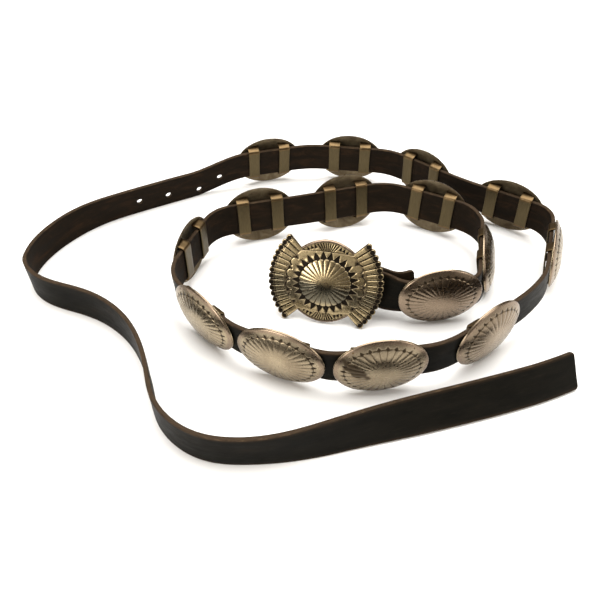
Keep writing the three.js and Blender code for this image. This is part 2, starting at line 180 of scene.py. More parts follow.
def main_route():
    start = POST_CENTRE + BUCKLE_OUT * FOLD_RADIUS
    knots = [(0, BUCKLE_YAW, -BUCKLE_LEAN, start[2])]
    knots += [(at * LEAD_LENGTH, heading, lean, start[2]) for at, heading, lean in LEAD]
    s, seats = LEAD_LENGTH, []
    for number, (gap, heading, lean) in enumerate(SEATS, 1):
        if number in BENDS:
            at, bend_heading, bend_lean = BENDS[number]
            knots.append((s + at * gap * SPACING, bend_heading, bend_lean, standing_height(bend_lean)))
        s += gap * SPACING
        height = standing_height(lean)
        knots += [(s, heading, lean, height), (s + SEAT, heading, lean, height)]
        seats.append(s + SEAT / 2)
        s += SEAT
    knots += [(s + at * TAIL_LENGTH, heading, lean, lying_height(lean)) for at, heading, lean in TAIL]
    return walk(knots, start, STRAP_STEP), seats, s


def flap_route():
    start = POST_CENTRE - BUCKLE_OUT * FOLD_RADIUS
    climb = 2 * BUCKLE_OUT[2] * FOLD_RADIUS
    knots = [(0, BUCKLE_YAW, -BUCKLE_LEAN, start[2])]
    knots += [(at * FLAP_LENGTH, heading, lean, start[2] + at * climb) for at, heading, lean in FLAP]
    flap = walk(knots, start, STRAP_STEP)
    return {"centre": flap["centre"][::-1], "along": -flap["along"][::-1],
            "up": flap["up"][::-1], "out": -flap["out"][::-1]}


def fold_route():
    angle = np.linspace(pi, 0, 26)[1:-1, None]
    radial = BUCKLE_OUT * np.cos(angle) - BUCKLE_ALONG * np.sin(angle)
    return {"centre": POST_CENTRE + radial * FOLD_RADIUS,
            "along": BUCKLE_ALONG * np.cos(angle) + BUCKLE_OUT * np.sin(angle),
            "up": np.repeat(BUCKLE_UP[None], len(angle), 0), "out": radial}


def station_at(route, s):
    return {key: np.array([np.interp(s, route["s"], route[key][:, k]) for k in range(3)])
            for key in ("centre", "along", "up", "out")}


MAIN, SEAT_MIDDLES, TAIL_START = main_route()


# Meshes

def grid_quads(rows, columns, wrap=False, first=0, flip=False):
    """Faces of a grid of points laid row by row; wrap joins the last column to the first."""
    r = np.arange(rows - 1)[:, None]
    c = np.arange(columns if wrap else columns - 1)[None]
    n = (c + 1) % columns
    quads = np.stack([r * columns + c, r * columns + n, (r + 1) * columns + n, (r + 1) * columns + c], -1)
    quads = quads.reshape(-1, 4) + first
    return quads[:, ::-1] if flip else quads


def fan_faces(centre, ring, flip=False):
    """Triangles from one point to a closed ring of points."""
    ring = np.asarray(ring)
    tris = np.stack([np.full(len(ring), centre), ring, np.roll(ring, -1)], -1)
    return tris[:, ::-1] if flip else tris


def new_object(name, data):
    obj = bpy.data.objects.new(name, data)
    bpy.context.scene.collection.objects.link(obj)
    return obj


class Shape:
    """Points, faces and named values that make up one piece."""

    def __init__(self):
        self.points, self.faces, self.kinds, self.values, self.count = [], [], [], {}, 0

    def add(self, points, faces, kind=0, **values):
        """Points with their faces; a named value is one number, or one for each point."""
        points = np.asarray(points, float).reshape(-1, 3)
        for name in sorted({*self.values, *values}):
            before = self.values.setdefault(name, [np.zeros(self.count)])
            value = np.asarray(values.get(name, 0.0), float).reshape(-1)
            before.append(np.broadcast_to(value, len(points)))
        self.points.append(points)
        for group in faces:
            self.faces.extend((np.asarray(group) + self.count).tolist())
            self.kinds.extend([kind] * len(group))
        self.count += len(points)

    def close(self, *rings, kind=0):
        """One face round each ring of points."""
        self.faces += [list(ring) for ring in rings]
        self.kinds += [kind] * len(rings)

    def tube(self, rings, kind=0, **values):
        """Rings of points joined one to the next, with both ends closed."""
        rings = np.asarray(rings)
        rows, columns = rings.shape[:2]
        self.add(rings, [grid_quads(rows, columns, wrap=True)], kind, **values)
        first, last = self.count - rows * columns, self.count - columns
        self.close(range(first + columns - 1, first - 1, -1), range(last, self.count), kind=kind)

    def piece(self, name, materials, place=None, smooth=True):
        """A Blender object of it, moved into the row frame by place, a function of the points."""
        points = np.concatenate(self.points)
        if place is not None:
            points = place(points)
        mesh = bpy.data.meshes.new(name)
        mesh.from_pydata((points * MM).tolist(), [], self.faces)
        for material in materials:
            mesh.materials.append(material)
        mesh.polygons.foreach_set("material_index", self.kinds)
        mesh.polygons.foreach_set("use_smooth", [smooth] * len(self.faces))
        for value, parts in self.values.items():
            layer = mesh.attributes.new(value, "FLOAT", "POINT")
            layer.data.foreach_set("value", np.concatenate(parts).astype(np.float32))
        mesh.update()
        obj = new_object(name, mesh)
        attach(obj, "root")
        return obj


def smoothstep(low, high, x):
    t = np.clip((x - low) / (high - low), 0, 1)
    return t * t * (3 - 2 * t)


def full_turn(steps):
    """Angles of so many even steps round, from 0."""
    return np.linspace(0, 2 * pi, steps + 1)[:-1]


def bell(x, width):
    return np.exp(-(x / width) ** 2)


def placed_by(station, shift):
    """Local points (along, up, out) at a station of the route, in the row frame."""
    axes = np.stack([station["along"], station["up"], station["out"]])
    return lambda points: points @ axes + station["centre"] + shift


# Shader nodes

def node_material(name):
    material = bpy.data.materials.new(name)
    material.use_nodes = True
    tree = material.node_tree
    return material, tree, tree.nodes["Principled BSDF"]


def set_inputs(tree, node, inputs):
    """Links each input to another node's output, or gives it a plain value."""
    for key, value in inputs.items():
        socket = node.inputs[key]
        if isinstance(value, bpy.types.NodeSocket):
            tree.links.new(value, socket)
        else:
            socket.default_value = (*value, 1) if socket.type == "RGBA" else value


def add_node(tree, kind, inputs=None, **settings):
    node = tree.nodes.new(f"ShaderNode{kind}")
    for name, value in settings.items():
        setattr(node, name, value)
    set_inputs(tree, node, inputs or {})
    return node


def value_of(tree, name):
    return add_node(tree, "Attribute", attribute_name=name).outputs["Fac"]


def place_of(tree, scale=(1, 1, 1)):
    """Object coordinates in millimetres, which are the row frame's, stretched by scale."""
    coords = add_node(tree, "TexCoord").outputs["Object"]
    inputs = {"Vector": coords, "Scale": [1000 * k for k in scale]}
    return add_node(tree, "Mapping", inputs).outputs["Vector"]


def belt_place(tree, scale=(1, 1)):
    """Millimetres along the strap and across it."""
    uv = add_node(tree, "UVMap", uv_map="belt").outputs["UV"]
    return add_node(tree, "Mapping", {"Vector": uv, "Scale": (*scale, 1)}).outputs["Vector"]


def noise(tree, vector, scale, detail=3.0, roughness=0.5, distortion=0.0):
    inputs = {"Vector": vector, "Scale": scale, "Detail": detail, "Roughness": roughness,
              "Distortion": distortion}
    return add_node(tree, "TexNoise", inputs).outputs["Fac"]


def ramp(tree, source, stops):
    """A colour or grey ramp of (position, value) stops."""
    node = add_node(tree, "ValToRGB", {"Fac": source})
    elements = node.color_ramp.elements
    while len(elements) < len(stops):
        elements.new(0.5)
    for element, (position, value) in zip(elements, stops):
        element.position = position
        element.color = (*value, 1) if isinstance(value, tuple) else (value, value, value, 1)
    return node.outputs["Color"]


def blend(tree, share, low, high):
    """From one colour to another by the share; 6, 7 and 2 are a Mix node's colour sockets."""
    return add_node(tree, "Mix", {0: share, 6: low, 7: high}, data_type="RGBA").outputs[2]


def arithmetic(tree, operation, *terms):
    return add_node(tree, "Math", dict(enumerate(terms)), operation=operation).outputs[0]


def bump(tree, height, strength, distance, before=None):
    inputs = {"Height": height, "Strength": strength, "Distance": distance * MM}
    if before is not None:
        inputs["Normal"] = before
    return add_node(tree, "Bump", inputs).outputs["Normal"]


# Materials

def silver_material():
    """Worn silver: tarnished in patches, warm where the piece says, grey and rosy where the piece says
    (partly tarnish and tone, partly painted dark reflection), black in its stamps.
    """
    material, tree, shader = node_material("worn_silver")
    at = place_of(tree)
    patches = noise(tree, at, 0.08, 4, 0.55, 0.4)
    tarnish = arithmetic(tree, "MULTIPLY", ramp(tree, patches, [(0.38, 0.0), (0.68, 1.0)]), 0.65)
    clean = blend(tree, noise(tree, at, 0.05, 2), (0.45, 0.375, 0.245), (0.40, 0.325, 0.21))
    colour = blend(tree, tarnish, clean, (0.20, 0.155, 0.092))
    # Painted dark reflection: the grey tint darkens the conchos' upper halves and the buckle's lower half,
    # and with the rosy tint whole faces such as concho 1; the rest of these tints is tarnish and tone.
    for name, tint in (("warm", (0.50, 0.385, 0.205)), ("patina", (0.070, 0.068, 0.053)),
                       ("polish", (0.225, 0.165, 0.118))):
        colour = blend(tree, value_of(tree, name), colour, tint)
    stamp = value_of(tree, "stamp")
    for low, high, tint in ((0.06, 0.5, (0.085, 0.062, 0.038)), (0.5, 0.8, (0.018, 0.014, 0.010))):
        colour = blend(tree, ramp(tree, stamp, [(low, 0.0), (high, 1.0)]), colour, tint)
    worn = ramp(tree, noise(tree, at, 0.7, 4, 0.6), [(0.3, 0.24), (0.75, 0.34)])
    rough = blend(tree, ramp(tree, stamp, [(0.1, 0.0), (0.8, 1.0)]), worn, (0.5, 0.5, 0.5))
    set_inputs(tree, shader, {"Metallic": 1, "Base Color": colour, "Roughness": rough,
                              "Normal": bump(tree, noise(tree, at, 0.14, 2), 0.3, 0.3)})
    return material


def hollow_material():
    """The conchos' backs: dark bronze, stained by the soldering heat."""
    material, tree, shader = node_material("stained_back")
    at = place_of(tree)
    colour = ramp(tree, noise(tree, at, 0.16, 4, 0.6, 0.6), [
        (0.3, (0.10, 0.073, 0.040)), (0.55, (0.18, 0.138, 0.080)), (0.75, (0.27, 0.215, 0.135))])
    set_inputs(tree, shader, {
        "Metallic": 0.6, "Base Color": colour,
        "Roughness": ramp(tree, noise(tree, at, 0.8, 4), [(0.3, 0.42), (0.7, 0.58)]),
        "Normal": bump(tree, noise(tree, at, 0.35, 3), 0.3, 0.2)})
    return material


def copper_material():
    """The strips: brushed, brown-grey across the strap and coppery at their bends."""
    material, tree, shader = node_material("brushed_copper")
    at = place_of(tree)
    uneven = arithmetic(tree, "SUBTRACT", noise(tree, at, 0.3, 3), 0.5)
    bend = arithmetic(tree, "ADD", value_of(tree, "bend"), arithmetic(tree, "MULTIPLY", uneven, 0.7))
    brushed = noise(tree, place_of(tree, (2.5, 2.5, 0.15)), 0.9, 4, 0.6)
    grey = blend(tree, brushed, (0.044, 0.034, 0.018), (0.105, 0.080, 0.042))
    bright = blend(tree, noise(tree, at, 0.25, 2), (0.098, 0.060, 0.029), (0.135, 0.096, 0.048))
    set_inputs(tree, shader, {
        "Metallic": 1,
        "Base Color": blend(tree, ramp(tree, bend, [(0.45, 0.0), (0.95, 1.0)]), grey, bright),
        "Roughness": ramp(tree, brushed, [(0.25, 0.32), (0.75, 0.48)]),
        "Normal": bump(tree, brushed, 0.18, 0.05)})
    return material


def leather_bump(tree, grain_scale, strength):
    pores = add_node(tree, "TexVoronoi", {"Vector": place_of(tree), "Scale": grain_scale})
    fine = bump(tree, pores.outputs["Distance"], strength, 0.06)
    return bump(tree, noise(tree, belt_place(tree, (0.35, 1)), 0.8, 5, 0.6), strength, 0.12, fine)


def grain_material():
    """The dyed outer side: near black with a soft sheen, scuffed grey and brown."""
    material, tree, shader = node_material("strap_leather")
    at = belt_place(tree, (0.3, 1))
    colour = ramp(tree, noise(tree, at, 0.16, 4, 0.6), [
        (0.3, (0.0036, 0.0034, 0.0025)), (0.6, (0.0064, 0.0056, 0.0040)), (0.8, (0.012, 0.0085, 0.0055))])
    scuff = ramp(tree, noise(tree, belt_place(tree, (0.1, 1)), 0.9, 6, 0.7), [(0.55, 0.0), (0.8, 1.0)])
    worn = blend(tree, arithmetic(tree, "MULTIPLY", scuff, 0.3), colour, (0.030, 0.024, 0.017))
    rubbed = ramp(tree, value_of(tree, "border"), [(0.8, 0.0), (1.0, 1.0)])
    set_inputs(tree, shader, {
        "Base Color": blend(tree, arithmetic(tree, "MULTIPLY", rubbed, 0.5), worn, (0.045, 0.027, 0.015)),
        "Roughness": ramp(tree, noise(tree, at, 0.5, 4), [(0.3, 0.40), (0.75, 0.56)]),
        "Specular IOR Level": 0.035, "Normal": leather_bump(tree, 2.2, 0.3)})
    return material


def flesh_material():
    """The flesh side: matt dark chocolate, mottled with reddish brown."""
    material, tree, shader = node_material("strap_flesh")
    mottle = noise(tree, belt_place(tree, (0.25, 1)), 0.22, 6, 0.7, 0.8)
    colour = ramp(tree, mottle, [(0.3, (0.0055, 0.0038, 0.0021)), (0.52, (0.0105, 0.0067, 0.0037)),
                                 (0.66, (0.021, 0.0115, 0.006)), (0.8, (0.040, 0.021, 0.0105))])
    fibres = noise(tree, belt_place(tree), 1.6, 6, 0.7)
    set_inputs(tree, shader, {
        "Base Color": colour, "Roughness": ramp(tree, mottle, [(0.3, 0.62), (0.7, 0.8)]),
        "Specular IOR Level": 0.05, "Normal": bump(tree, fibres, 0.5, 0.15)})
    return material


def edge_material():
    """The cut edges and the holes' walls: raw tan, darkened by handling."""
    material, tree, shader = node_material("strap_edge")
    tone = noise(tree, belt_place(tree, (0.4, 1)), 0.5, 5, 0.65)
    colour = ramp(tree, tone, [(0.3, (0.014, 0.0085, 0.0045)), (0.55, (0.040, 0.024, 0.012)),
                               (0.8, (0.10, 0.064, 0.034))])
    set_inputs(tree, shader, {
        "Base Color": colour, "Roughness": 0.7, "Specular IOR Level": 0.15,
        "Normal": bump(tree, noise(tree, place_of(tree), 3.0, 4), 0.5, 0.1)})
    return material


# The strap

CORNER, CORNER_TURNS = 0.55, (67.5, 45, 22.5)
END_ROUNDING = 1.6
FACE_SPANS = 10
CUPPING = 0.06
# Stations near a cut end, and how far apart the two faces lie in the strap's own map
NEAR_AN_END = np.array([0.05, 0.15, 0.3, 0.5, 0.8, 1.2])
FACES_APART = 40
HOLE_SIDES = 32


def strap_profile():
    """Points round the section as (up, out, kind), kind 0 outer side, 1 edge, 2 flesh side."""
    w, t = STRAP_WIDTH / 2, STRAP_THICK / 2
    points = []

    def across(from_up, to_up, out, kind):
        points.extend((up, out, kind) for up in np.linspace(from_up, to_up, FACE_SPANS + 1))

    def corner(up, out, first):
        for turn in CORNER_TURNS:
            angle = radians(first + turn)
            points.append((up + CORNER * cos(angle), out + CORNER * sin(angle), 1))

    across(-w + CORNER, w - CORNER, t, 0)
    corner(w - CORNER, t - CORNER, 0)
    points.extend([(w, t - CORNER, 1), (w, -t + CORNER, 1)])
    corner(w - CORNER, -t + CORNER, -90)
    across(w - CORNER, -w + CORNER, -t, 2)
    corner(-w + CORNER, -t + CORNER, 180)
    points.extend([(-w, -t + CORNER, 1), (-w, t - CORNER, 1)])
    corner(-w + CORNER, t - CORNER, 90)
    return points


def end_trim(distance):
    """How much of the half-width is left near a cut end, which has rounded corners."""
    t = np.clip(distance / END_ROUNDING, 0, 1)
    return STRAP_WIDTH / 2 - END_ROUNDING * (1 - np.sqrt(1 - (1 - t) ** 2))


def strap_piece(materials, shift):
    """The leather from the flap's end round the post's fold and along the whole route."""
    parts, keys = (flap_route(), fold_route(), MAIN), ("centre", "along", "up", "out")
    whole = {key: np.concatenate([part[key] for part in parts]) for key in keys}
    walked = np.r_[0, np.cumsum(np.linalg.norm(np.diff(whole["centre"], axis=0), axis=1))]
    length = walked[-1]
    s = np.unique(np.r_[NEAR_AN_END, length - NEAR_AN_END, walked])
    route = {key: np.stack([np.interp(s, walked, whole[key][:, k]) for k in range(3)], -1) for key in keys}
    up, out, kind = (np.array(column) for column in zip(*strap_profile()))
    trim = np.minimum(end_trim(s), end_trim(length - s)) / (STRAP_WIDTH / 2)
    border = np.abs(up[None]) / (STRAP_WIDTH / 2)
    cup = CUPPING * np.sin(s[:, None] / 11.0 + up[None] * 0.4) * (1 - border ** 4)
    points = (route["centre"][:, None] + route["up"][:, None] * (up[None] * trim[:, None])[..., None]
              + route["out"][:, None] * (out[None] + cup)[..., None])
    rows, columns = points.shape[:2]
    shape = Shape()
    shape.add(points, [grid_quads(rows, columns, wrap=True, flip=True)],
              border=np.repeat(np.clip(border, 0, 1), rows, 0))
    shape.kinds = [int(a) if a == b else 1 for a, b in zip(kind, np.roll(kind, -1))] * (rows - 1)
    last = (rows - 1) * columns
    shape.close(range(columns), range(last + columns - 1, last - 1, -1), kind=1)
    obj = shape.piece("strap", materials, lambda p: p + shift)
    mesh = obj.data
    layer = mesh.uv_layers.new(name="belt")
    corners = np.empty(len(mesh.loops), int)
    mesh.loops.foreach_get("vertex_index", corners)
    across = np.where(out > 0, up, -up) + FACES_APART * (out < 0)
    coords = np.stack([np.repeat(s, columns), np.tile(across, rows)], -1)
    layer.data.foreach_set("uv", coords[corners].reshape(-1).astype(np.float32))
    punch_holes(obj, materials, shift)
    return obj


def punch_holes(strap, materials, shift):
    """Cuts the round holes with rods, which are then removed."""
    shape = Shape()
    turns = full_turn(HOLE_SIDES)[:, None]
    for at, up in HOLES:
        station = station_at(MAIN, TAIL_START + at * TAIL_LENGTH)
        centre = station["centre"] + station["up"] * up * STRAP_WIDTH
        circle = centre + HOLE_RADIUS * (station["along"] * np.cos(turns) + station["up"] * np.sin(turns))
        shape.tube([circle + station["out"] * side * STRAP_THICK for side in (-1, 1)], kind=1)
    cutter = shape.piece("hole_cutter", materials, lambda p: p + shift, smooth=False)
    cut = strap.modifiers.new("holes", "BOOLEAN")
    cut.object = cutter
    cut.operation = "DIFFERENCE"
    cut.solver = "EXACT"
    apply_modifiers(strap)
    bpy.data.objects.remove(cutter, do_unlink=True)


def apply_modifiers(obj):
    depsgraph = bpy.context.evaluated_depsgraph_get()
    evaluated = obj.evaluated_get(depsgraph)
    mesh = bpy.data.meshes.new_from_object(evaluated, preserve_all_data_layers=True, depsgraph=depsgraph)
    old = obj.data
    obj.modifiers.clear()
    obj.data = mesh
    bpy.data.meshes.remove(old)


# The conchos

PETALS, SAMPLES_PER_PETAL = 28, 12
LIP, RIM_TONE = 0.25, 0.85
# The back has one point for each few of the face's, and its dome is this share of the face's
BACK_STEP, BACK_DOME = 4, 0.985
# Radii and widths as shares of the concho's half size, relief and depth in millimetres
CONCHO_SUN = {"end": 0.79, "lobe": 0.055, "tip": 0.87, "inner": 0.16, "relief": 0.13, "depth": 0.2,
              "line": 0.012, "groove": 0.065, "base": 0.38}
GROOVE_TONE, PUNCH_TONE = 0.55, 0.68
# How far each face that shows is darkened and how rosy it is, each partly its own tarnish and tone and
# partly painted dark reflection (concho 1 most); the others draw theirs at random
FACE_TARNISH_AND_DARK_REFLECTION = {1: 0.4, 7: 0.02, 8: 0.05, 9: 0.15, 10: 0.28}
ROSY_AND_DARK_REFLECTION = {1: 0.8, 7: 0.25, 8: 0.3, 9: 0.3, 10: 0.55}
PLAIN_ROSY = 0.3
# A brown stain on one face, in shares of its half size, and turned by an angle
STAIN = {"concho": 9, "x": -0.58, "y": 0.12, "turn": -48, "long": 0.4, "wide": 0.16, "tone": 0.5}


def dome_height(r):
    return DOME_DEPTH * (1 - r ** FULLNESS)


def petal_shares(theta, count):
    """Share across the petal from -0.5 to 0.5, with the grooves at both ends."""
    turn = theta / (2 * pi) * count
    return turn - np.round(turn)


def stamped_sun(r, share, sun):
    """Relief, and the darkness of the grooves and of the triangles punched between the petals' ends."""
    end, lobe, tip = sun["end"], sun["lobe"], sun["tip"]
    round_end = end - lobe * (1 - np.sqrt(np.clip(1 - 4 * share ** 2, 0, 1)))
    ridge = 1 - (2 * share) ** 2
    fade = smoothstep(sun["inner"], end * 0.75, r)
    inside = 1 - smoothstep(round_end - 0.006, round_end + 0.008, r)
    petals = sun["relief"] * fade * inside * (ridge - 0.15)
    line = bell(r - round_end - 0.006, sun["line"])
    groove_share = 0.5 - np.abs(share)
    groove = bell(groove_share, sun["groove"]) * inside * smoothstep(sun["inner"], end * 0.8, r)
    base = end - lobe * 0.7
    width = sun["base"] * np.clip((tip - r) / (tip - base), 0, 1)
    triangle = (smoothstep(-0.05, 0.04, width - groove_share) * smoothstep(base - 0.01, base + 0.012, r)
                * (r < tip) * (1 - inside))
    height = petals - sun["depth"] * np.maximum(np.maximum(line * 0.6, groove * 0.3), triangle)
    lines = np.maximum(line * 0.85, groove * smoothstep(0.1, 0.7, r / end))
    return height, lines, triangle


def concho_rings():
    return np.r_[np.linspace(0.03, 0.42, 8), np.linspace(0.46, 0.70, 9), np.linspace(0.715, 0.885, 27),
                 [0.91, 0.94, 0.965, 0.982, 0.993]]


def stain_on(x, y):
    """Darkness of the stain, with an uneven edge."""
    turn = radians(STAIN["turn"])
    dx, dy = x - STAIN["x"], y - STAIN["y"]
    along, across = dx * cos(turn) + dy * sin(turn), dy * cos(turn) - dx * sin(turn)
    uneven = 0.14 * np.sin(23 * along + 2) + 0.12 * np.sin(31 * across + 9 * along)
    reach = np.hypot(along / STAIN["long"], across / STAIN["wide"]) + uneven
    return STAIN["tone"] * (1 - smoothstep(0.8, 1.1, reach))


def concho_shape(turn, wobble, tarnish_and_reflection_share, rosy_and_reflection_share, stained):
    """A stamped dome with its hollow back; turn is the pattern's own turn and wobble its unevenness."""
    columns = PETALS * SAMPLES_PER_PETAL
    theta = full_turn(columns)
    radius, angle = np.meshgrid(concho_rings(), theta, indexing="ij")
    share = petal_shares(angle + turn, PETALS)
    uneven = wobble[0] * np.sin(angle * 2 + wobble[1]) + wobble[2] * np.sin(angle * 5 + wobble[3])
    height, lines, punches = stamped_sun(radius + uneven * 0.006, share, CONCHO_SUN)
    dark = np.maximum(lines * GROOVE_TONE, punches * PUNCH_TONE)
    if stained:
        dark = np.maximum(dark, stain_on(radius * np.cos(angle), radius * np.sin(angle)))
    polish = np.maximum(smoothstep(0.88, 0.93, radius) * RIM_TONE, rosy_and_reflection_share)
    # Painted dark reflection: each face is painted darker towards its top, added to its own darkening.
    patina = tarnish_and_reflection_share + 0.38 * smoothstep(0.05, 0.9, radius * np.sin(angle))
    half = np.array([CONCHO_LENGTH, CONCHO_HEIGHT]) / 2
    z = RIM_FRONT + dome_height(radius) + height - LIP * smoothstep(0.975, 1.0, radius) ** 2
    spots = oval_points(angle, half, z, radius)
    rim = oval_points(theta, half, RIM_FRONT - 0.35)
    points = np.concatenate([spots.reshape(-1, 3), rim, [[0, 0, RIM_FRONT + DOME_DEPTH]]])
    rows = len(radius)
    shape = Shape()
    shape.add(points, [grid_quads(rows + 1, columns, wrap=True, flip=True),
                       fan_faces(len(points) - 1, np.arange(columns))],
              stamp=np.r_[dark.reshape(-1), np.zeros(columns + 1)],
              polish=np.r_[polish.reshape(-1), np.full(columns, RIM_TONE), rosy_and_reflection_share],
              patina=np.r_[patina.reshape(-1), np.full(columns + 1, tarnish_and_reflection_share)])
    add_hollow(shape, half, columns, rows * columns)
    return shape


def oval_points(angle, half, z, radius=1.0):
    x, y = radius * np.cos(angle) * half[0], radius * np.sin(angle) * half[1]
    return np.stack([x, y, np.broadcast_to(z, x.shape)], -1)


def add_hollow(shape, half, columns, rim_start):
    """The back, joined to the rim's own points."""
    theta = full_turn(columns // BACK_STEP)
    r = np.array([0.985, 0.95, 0.9, 0.82, 0.72, 0.6, 0.46, 0.3, 0.14])
    radius, angle = np.meshgrid(r, theta, indexing="ij")
    petals = np.cos(2 * pi * petal_shares(angle, PETALS))
    printed = 0.12 * smoothstep(0.3, 0.6, radius) * (1 - smoothstep(0.74, 0.8, radius)) * petals
    z = RIM_BACK + dome_height(np.minimum(radius / 0.975, 1)) * BACK_DOME + printed
    z = np.maximum(z, RIM_BACK)
    spots = oval_points(angle, half, z, radius)
    edge = oval_points(theta, half * 0.997, RIM_BACK)
    points = np.concatenate([edge, spots.reshape(-1, 3), [[0, 0, RIM_BACK + DOME_DEPTH * BACK_DOME]]])
    n, first = len(theta), shape.count
    innermost = np.arange(len(r) * n, (len(r) + 1) * n)
    shape.add(points, [grid_quads(len(r) + 1, n, wrap=True),
                       fan_faces(len(points) - 1, innermost, flip=True)], kind=1)
    for k in range(n):
        rim = [rim_start + (BACK_STEP * k + j) % columns for j in range(BACK_STEP, -1, -1)]
        shape.close([*rim, first + k, first + (k + 1) % n])


STRIP_BEND, STRIP_CORNER = 1.3, 0.22


def strip_path(bow):
    """The strip's centre line (up, out) from one soldered end to the other, with its bends rounded."""
    inner = -RIM_BACK - STRIP_THICK / 2
    side = STRAP_WIDTH / 2 + STRIP_NICK + STRIP_THICK / 2
    x = STRIP_APART / CONCHO_LENGTH
    y = (side + STRIP_SPLAY * 0.6) / (CONCHO_HEIGHT / 2)
    end = RIM_BACK + dome_height(sqrt(x * x + y * y)) + 0.1
    splay = STRIP_SPLAY * (end - inner) / (RIM_FRONT + DOME_DEPTH - inner)
    leg = np.array([[side + splay, end], [side + 0.1, inner + STRIP_BEND]])
    turns = np.linspace(0.15, pi / 2, 7)
    bend = np.stack([side - STRIP_BEND * (1 - np.cos(turns)), inner + STRIP_BEND * (1 - np.sin(turns))], -1)
    half = np.concatenate([leg[:1], leg.mean(0)[None], leg[1:], bend])
    span = half[-1][0]
    across = [[up, inner - bow * (1 - (up / span) ** 2)] for up in np.linspace(span, -span, 13)[1:-1]]
    return np.concatenate([half, across, half[::-1] * [-1, 1]])


def strip_section():
    """Points round a strip's section as (along, depth), with its corners taken off."""
    w, t, c = STRIP_WIDTH / 2, STRIP_THICK / 2, STRIP_CORNER
    corner = [(w - c, -t), (w - 0.3 * c, -t + 0.3 * c), (w, -t + c)]
    low = [(-x, depth) for x, depth in reversed(corner)] + [(-w / 2, -t), (0, -t), (w / 2, -t)] + corner
    high = [(w, t - c), (w - 0.3 * c, t - 0.3 * c), (w - c, t), (0, t)]
    return low + high + [(-x, depth) for x, depth in reversed(high[:3])]


def add_strip(shape, side, bow, slip):
    path, section = strip_path(bow), strip_section()
    along = np.gradient(path, axis=0)
    along /= np.linalg.norm(along, axis=1)[:, None]
    normal = np.stack([along[:, 1], -along[:, 0]], -1)
    centre = side * STRIP_APART / 2 + slip
    inner_span = STRAP_WIDTH / 2
    rings, bend = [], []
    for (up, out), n in zip(path, normal):
        narrow = 1 - 0.035 * (1 - (up / inner_span) ** 2)
        rings.append([(centre + x * narrow, up + n[0] * depth, out + n[1] * depth) for x, depth in section])
        bend += [smoothstep(0.78, 1.02, abs(up) / inner_span)] * len(section)
    shape.tube(rings, bend=bend)


def concho_pieces(index, seat, silver, hollow, copper, shift):
    """The dome, which stands for the whole solid, and its two strips."""
    place = placed_by(station_at(MAIN, seat), shift)
    phases = rng.uniform(-1, 1, 2) * 3
    # Each face's darkening and rosy share: partly tarnish and tone, partly painted dark reflection.
    tarnish_and_reflection_share = FACE_TARNISH_AND_DARK_REFLECTION.get(index, rng.uniform(0.1, 0.32))
    dome = concho_shape(rng.uniform(-0.05, 0.05), [0.8, phases[0], 0.5, phases[1]], tarnish_and_reflection_share,
                        ROSY_AND_DARK_REFLECTION.get(index, PLAIN_ROSY), index == STAIN["concho"])
    piece = dome.piece(f"concho_dome_{index:02d}", [silver, hollow], place)
    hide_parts(f"concho_{index:02d}")
    strips = Shape()
    for side in (-1, 1):
        add_strip(strips, side, rng.uniform(0.0, 0.12), rng.uniform(-0.3, 0.3))
    strip = strips.piece(f"concho_strips_{index:02d}", [copper], place)


# The buckle

BUCKLE_SUN = {"lobe": 0.06, "tip": 1.05, "inner": 0.15, "relief": 0.14, "depth": 0.4,
              "line": 0.014, "groove": 0.075, "base": 0.58}
CUSHION_FACE = PLATE + CUSHION_THICK
BACK_SHEET, TUCK, INSET = 0.6, 0.1, 0.12
PLATE_SIDES = ((1, 1), (0, 0))
FLUTE_SAMPLES, EYE_INSET, EYE_RADIUS, EYE_RING = 14, 1.75, 1.25, 1.8
CRESCENT_RIM, CRESCENT_WEDGES = 1.15, 4
SUNBURST_SOURCE, SUNBURST_SPREAD, SUNBURST_RAYS = 13.2, 76.0, 8


def bulge(x, y, apex, steps):
    """The arc from (x, y) over the apex to (-x, y)."""
    t = np.linspace(0, 1, steps)
    return np.stack([(1 - 2 * t) * x, y + 2 * (apex - y) * 2 * t * (1 - t)], -1)


def cushion_outline(steps=60):
    corner = np.array([NOTCH_X, NOTCH_Y]) - CUSHION_MARGIN
    top = bulge(corner[0], corner[1], CUSHION_TOP - CUSHION_MARGIN, steps)
    side = bulge(corner[1], corner[0], CUSHION_SIDE - CUSHION_MARGIN, steps)
    right = np.stack([side[:, 1], -side[:, 0]], -1)
    half = np.concatenate([right[:-1], top[:-1]])
    return np.concatenate([half, -half])


def outline_radius(outline, angle):
    """The outline's distance from the centre at each angle."""
    turn = np.unwrap(np.arctan2(outline[:, 1], outline[:, 0]))
    order = np.argsort(turn)
    distance = np.hypot(outline[:, 0], outline[:, 1])
    return np.interp(angle, turn[order], distance[order], period=2 * pi)


def ring_stamp(x, y, centre, radius, width, facing=None, open_to=-0.2):
    """Darkness of a ring pressed round a centre, or only of the part that faces one way."""
    dx, dy = x - centre[0], y - centre[1]
    distance = np.hypot(dx, dy)
    mark = bell(distance - radius, width)
    if facing is not None:
        toward = (dx * facing[0] + dy * facing[1]) / np.maximum(distance, 1e-6)
        mark = mark * smoothstep(open_to, open_to + 0.25, toward)
    return mark


def dot_stamp(x, y, centre, radius):
    return 1 - smoothstep(radius * 0.75, radius * 1.2, np.hypot(x - centre[0], y - centre[1]))


def wedge_stamp(x, y, tip, facing, length, base):
    """Darkness of a punched triangle whose point lies at tip and faces one way."""
    dx, dy = x - tip[0], y - tip[1]
    back = -(dx * facing[0] + dy * facing[1])
    aside = np.abs(dx * facing[1] - dy * facing[0])
    inside = smoothstep(-0.08, 0.12, base / 2 * back / length - aside)
    return inside * (back > 0) * (1 - smoothstep(length - 0.1, length + 0.1, back))


